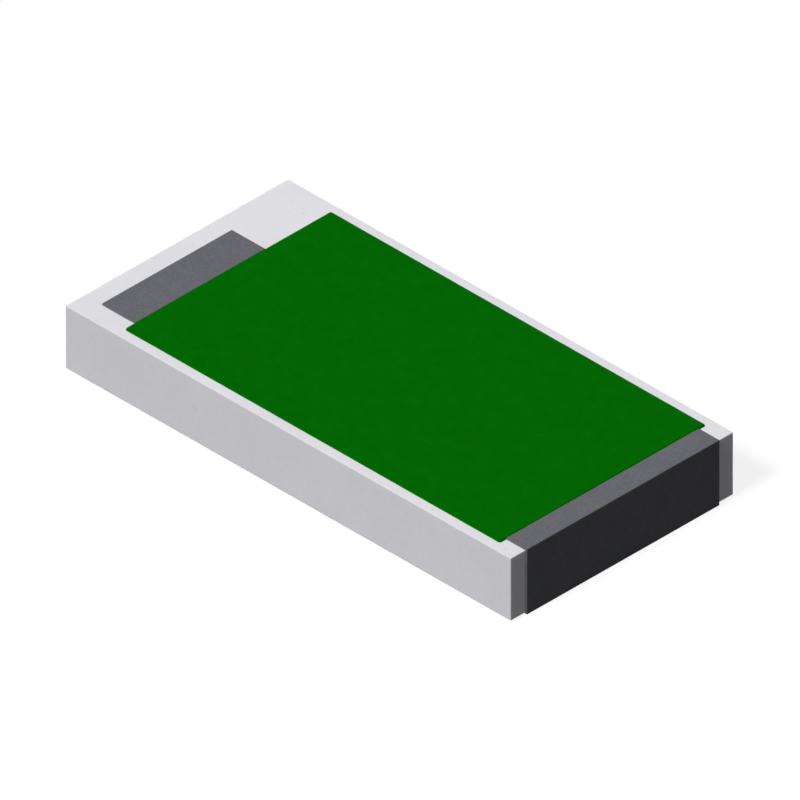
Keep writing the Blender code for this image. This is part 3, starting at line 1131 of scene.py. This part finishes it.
@dataclass
class Studio:
    """Camera, soft lamps and a pale floor. Angles are in degrees."""

    azimuth: float = 45.0
    elevation: float = 34.65
    pixels_per_mm: float = 125.9
    image_width: int = 800
    aim: Span = (0.31 * MM, -0.303 * MM)
    camera_distance: float = 20 * MM
    clip: Span = (0.1 * MM, 1.0)
    floor_drop: float = 1 * MICRON
    floor_reach: float = 0.4
    floor_bounce: float = 0.075
    floor_glow: float = 0.81
    floor_lit: float = 0.2
    sky: float = 0.11
    key: Vector = field(default_factory=lambda: Vector((0.0, -0.57, 0.69)))
    fill: Vector = field(default_factory=lambda: Vector((-0.31, 0.36, 0.15)))
    lamp_angle: float = 12.0

    def set_camera(self, height: float) -> None:
        """Sets a parallel camera that looks down at the chip.

        Args:
            height: height of the plane that the image's middle lies on.
        """
        turn, rise = math.radians(self.azimuth), math.radians(self.elevation)
        back = Vector((math.sin(turn) * math.cos(rise), -math.cos(turn) * math.cos(rise), math.sin(rise)))
        data = bpy.data.cameras.new("camera")
        data.type = "ORTHO"
        data.ortho_scale = self.image_width / self.pixels_per_mm * MM
        data.clip_start, data.clip_end = self.clip
        camera = bpy.data.objects.new("camera", data)
        camera.location = Vector((*self.aim, height)) + back * self.camera_distance
        camera.rotation_euler = (-back).to_track_quat("-Z", "Y").to_euler()
        bpy.context.scene.collection.objects.link(camera)
        bpy.context.scene.camera = camera

    def add_sun(self, name: str, towards: Vector, marks: bool) -> None:
        """Adds a lamp like a far softbox.

        Args:
            name: the lamp's name.
            towards: way to the lamp, as long as the light that a face turned to it gets.
            marks: whether it casts a shadow and shows in glossy surfaces.
        """
        data = bpy.data.lights.new(name, "SUN")
        data.energy = towards.length * math.pi
        data.angle = math.radians(self.lamp_angle)
        data.use_shadow = marks
        lamp = bpy.data.objects.new(name, data)
        lamp.visible_glossy = marks
        lamp.rotation_euler = towards.to_track_quat("Z", "Y").to_euler()
        bpy.context.scene.collection.objects.link(lamp)

    @staticmethod
    def grey(level: float) -> tuple[float, float, float, float]:
        """A grey of this level."""
        return (level, level, level, 1.0)

    @staticmethod
    def seen(recipe: Recipe) -> Wire:
        """1 for rays that show the background: straight, mirrored or through glass.

        Args:
            recipe: the tree to add to.

        Returns:
            The share.
        """
        rays = ("Is Camera Ray", "Is Glossy Ray", "Is Transmission Ray")
        camera, glossy, through = (recipe.node("ShaderNodeLightPath", output=ray) for ray in rays)
        return camera.largest(glossy).largest(through)

    def set_world(self) -> None:
        """Sets a dim even sky that looks white where it shows."""
        world = bpy.data.worlds.new("studio")
        world.use_nodes = True
        recipe = Recipe(world.node_tree)
        strength = self.seen(recipe) * (1.0 - self.sky) + self.sky
        light = recipe.node("ShaderNodeBackground", None, {"Color": self.grey(1.0), "Strength": strength})
        recipe.show("ShaderNodeOutputWorld", light)
        bpy.context.scene.world = world

    def paper(self) -> bpy.types.Material:
        """The floor's material: white but for the shadow where it shows, and dim where it only lights.

        Returns:
            The material.
        """
        material, recipe = new_recipe("floor_paper")
        glow = recipe.node("ShaderNodeEmission", None, {"Strength": self.floor_glow})
        lit = recipe.node("ShaderNodeBsdfDiffuse", None, {"Color": self.grey(self.floor_lit)})
        shown = recipe.node("ShaderNodeAddShader", None, {0: glow, 1: lit})
        bounce = recipe.node("ShaderNodeBsdfDiffuse", None, {"Color": self.grey(self.floor_bounce)})
        mixed = recipe.node("ShaderNodeMixShader", None, {0: self.seen(recipe), 1: bounce, 2: shown})
        recipe.show("ShaderNodeOutputMaterial", mixed)
        return material

    def add_floor(self) -> None:
        """Adds a wide floor just under the chip."""
        reach, drop = self.floor_reach, self.floor_drop
        corners = [(-reach, -reach), (reach, -reach), (reach, reach), (-reach, reach)]
        mesh = bpy.data.meshes.new("floor")
        mesh.from_pydata([(x, y, -drop) for x, y in corners], [], [(0, 1, 2, 3)])
        mesh.materials.append(self.paper())
        floor = bpy.data.objects.new("floor", mesh)
        bpy.context.scene.collection.objects.link(floor)

    def build(self, aim_height: float) -> None:
        """Sets camera, lamps, world and floor.

        Args:
            aim_height: height of the plane that the image's middle lies on.
        """
        bpy.context.scene.view_settings.view_transform = "Standard"
        self.set_camera(aim_height)
        self.add_sun("key", self.key, True)
        self.add_sun("fill", self.fill, False)
        self.set_world()
        self.add_floor()
        LOG.info("studio: camera, two lamps, sky and floor")


def main() -> None:
    """Builds every piece in order, from the plate outwards, and then the studio."""
    logging.basicConfig(level=logging.INFO, format="%(name)s: %(message)s")
    plate_low, plate_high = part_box("alumina_plate")
    Substrate(plate_low, plate_high).build()

    # Each film's own thickness is the step from the top of the one below it
    electrode_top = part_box("input_electrode")[1].z
    film_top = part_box("resistive_film")[1].z
    glaze_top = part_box("glass_glaze")[1].z
    coat_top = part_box("green_overcoat")[1].z
    silver = electrode_top - plate_high.z
    input_silver = FilmBelow(Outline.of("input_electrode"), silver)
    resistor = FilmBelow(Outline.of("resistive_film"), film_top - electrode_top)
    glaze = FilmBelow(Outline.of("glass_glaze"), glaze_top - film_top)

    # The end electrode is cut square at the plate's end, so its slope there is put past the plate
    end = Outline.of("end_electrode")
    end_silver = FilmBelow(replace(end, right=end.right + FILM_SLOPE), silver)

    films = [input_silver, end_silver, resistor, glaze]
    cut = LaserCut(input_silver.outline.right, resistor.outline.front, glaze.outline.front)
    coat = Outline.of("green_overcoat", corner=20 * MICRON)
    Overcoat(plate_high.z, coat_top, coat, films, cut, coat_top - glaze_top).build()

    rim = PlatedRim(silver, plate_low.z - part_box("end_tin")[0].z)
    input_tin = Outline.of("input_tin", corner=12 * MICRON)
    InputTin(plate_high.z, input_silver.outline, input_tin, rim).build()
    WrappedTin(plate_low, plate_high, coat.right, Outline.of("ground_electrode"), rim).build()

    silver_films = ("input_electrode", "end_electrode", "side_electrode", "ground_electrode")
    SealedFilms({
        **{node: SILVER for node in silver_films},
        "resistive_film": RUTHENIUM,
        "glass_glaze": GLAZE,
        "input_nickel": NICKEL,
        "end_nickel": NICKEL,
    }).dress()
    Studio().build(plate_high.z)


if __name__ == "__main__":
    main()
